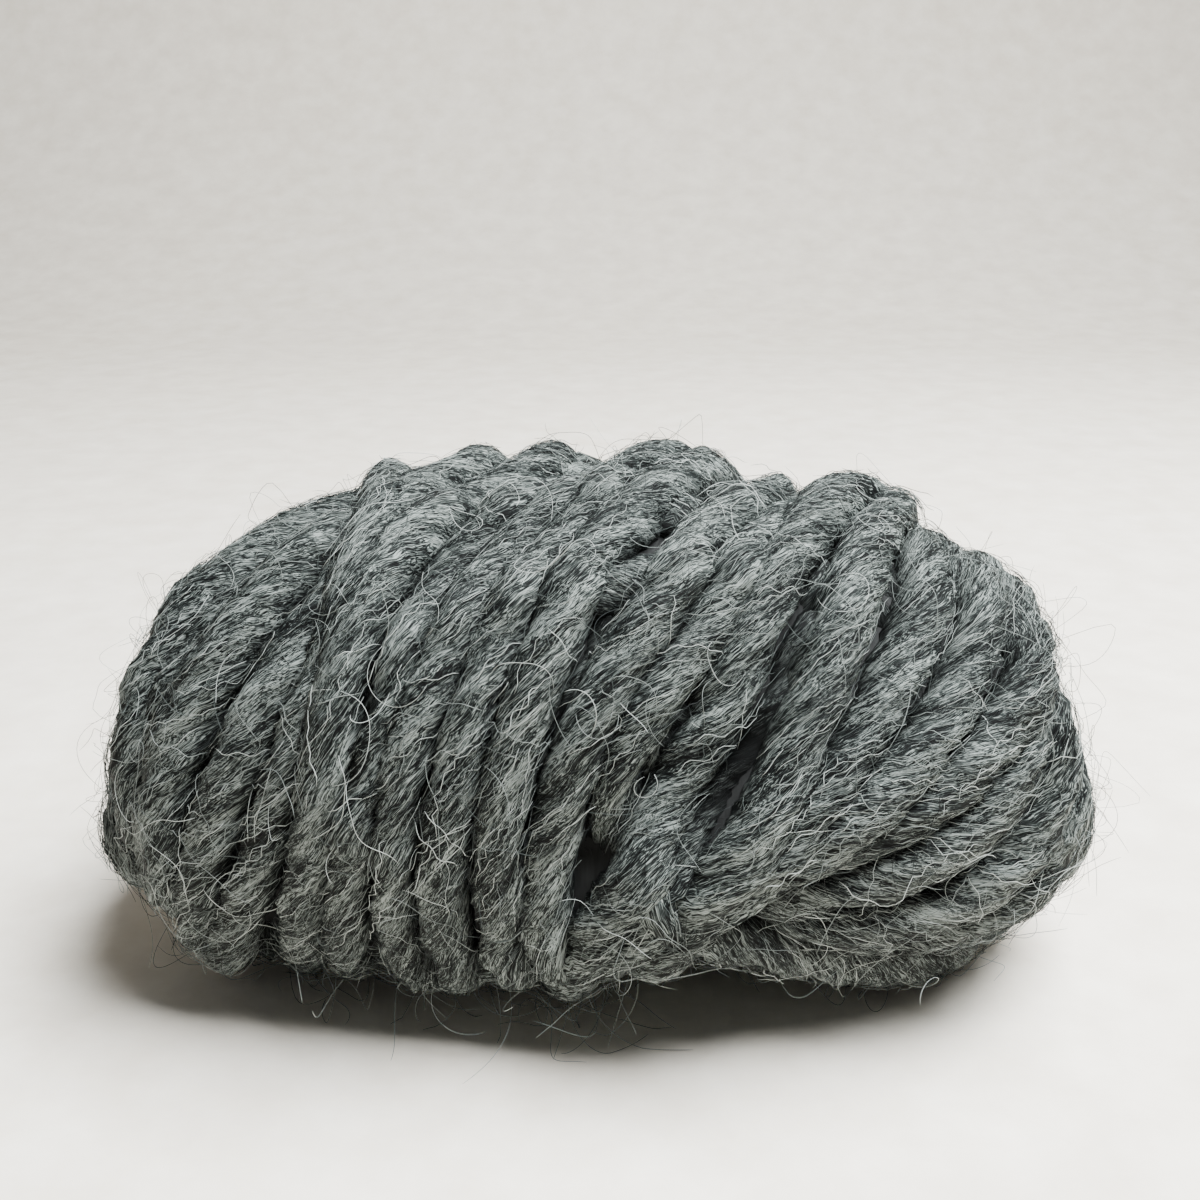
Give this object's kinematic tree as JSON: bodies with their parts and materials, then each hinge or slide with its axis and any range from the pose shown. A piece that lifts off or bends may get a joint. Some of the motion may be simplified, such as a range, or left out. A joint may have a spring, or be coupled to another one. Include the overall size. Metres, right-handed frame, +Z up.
{
  "type": "wound yarn ball",
  "caption": "Oblong ball of bulky grey wool roving, wound in leaning turns round its long axis, resting on a small pressed spot.",
  "frame": {"origin": "middle of the ball's footprint, on the surface that it rests on", "axes": "+X along the ball's long axis, +Y from the pictured side to the back, +Z up"},
  "size_m": [0.1529, 0.0884, 0.0812],
  "materials": {
    "wool_roving": "matt, heathered and hairy"
  },
  "bodies": {
    "root": {"yarn_ball": "wool_roving"}
  },
  "joints": []
}
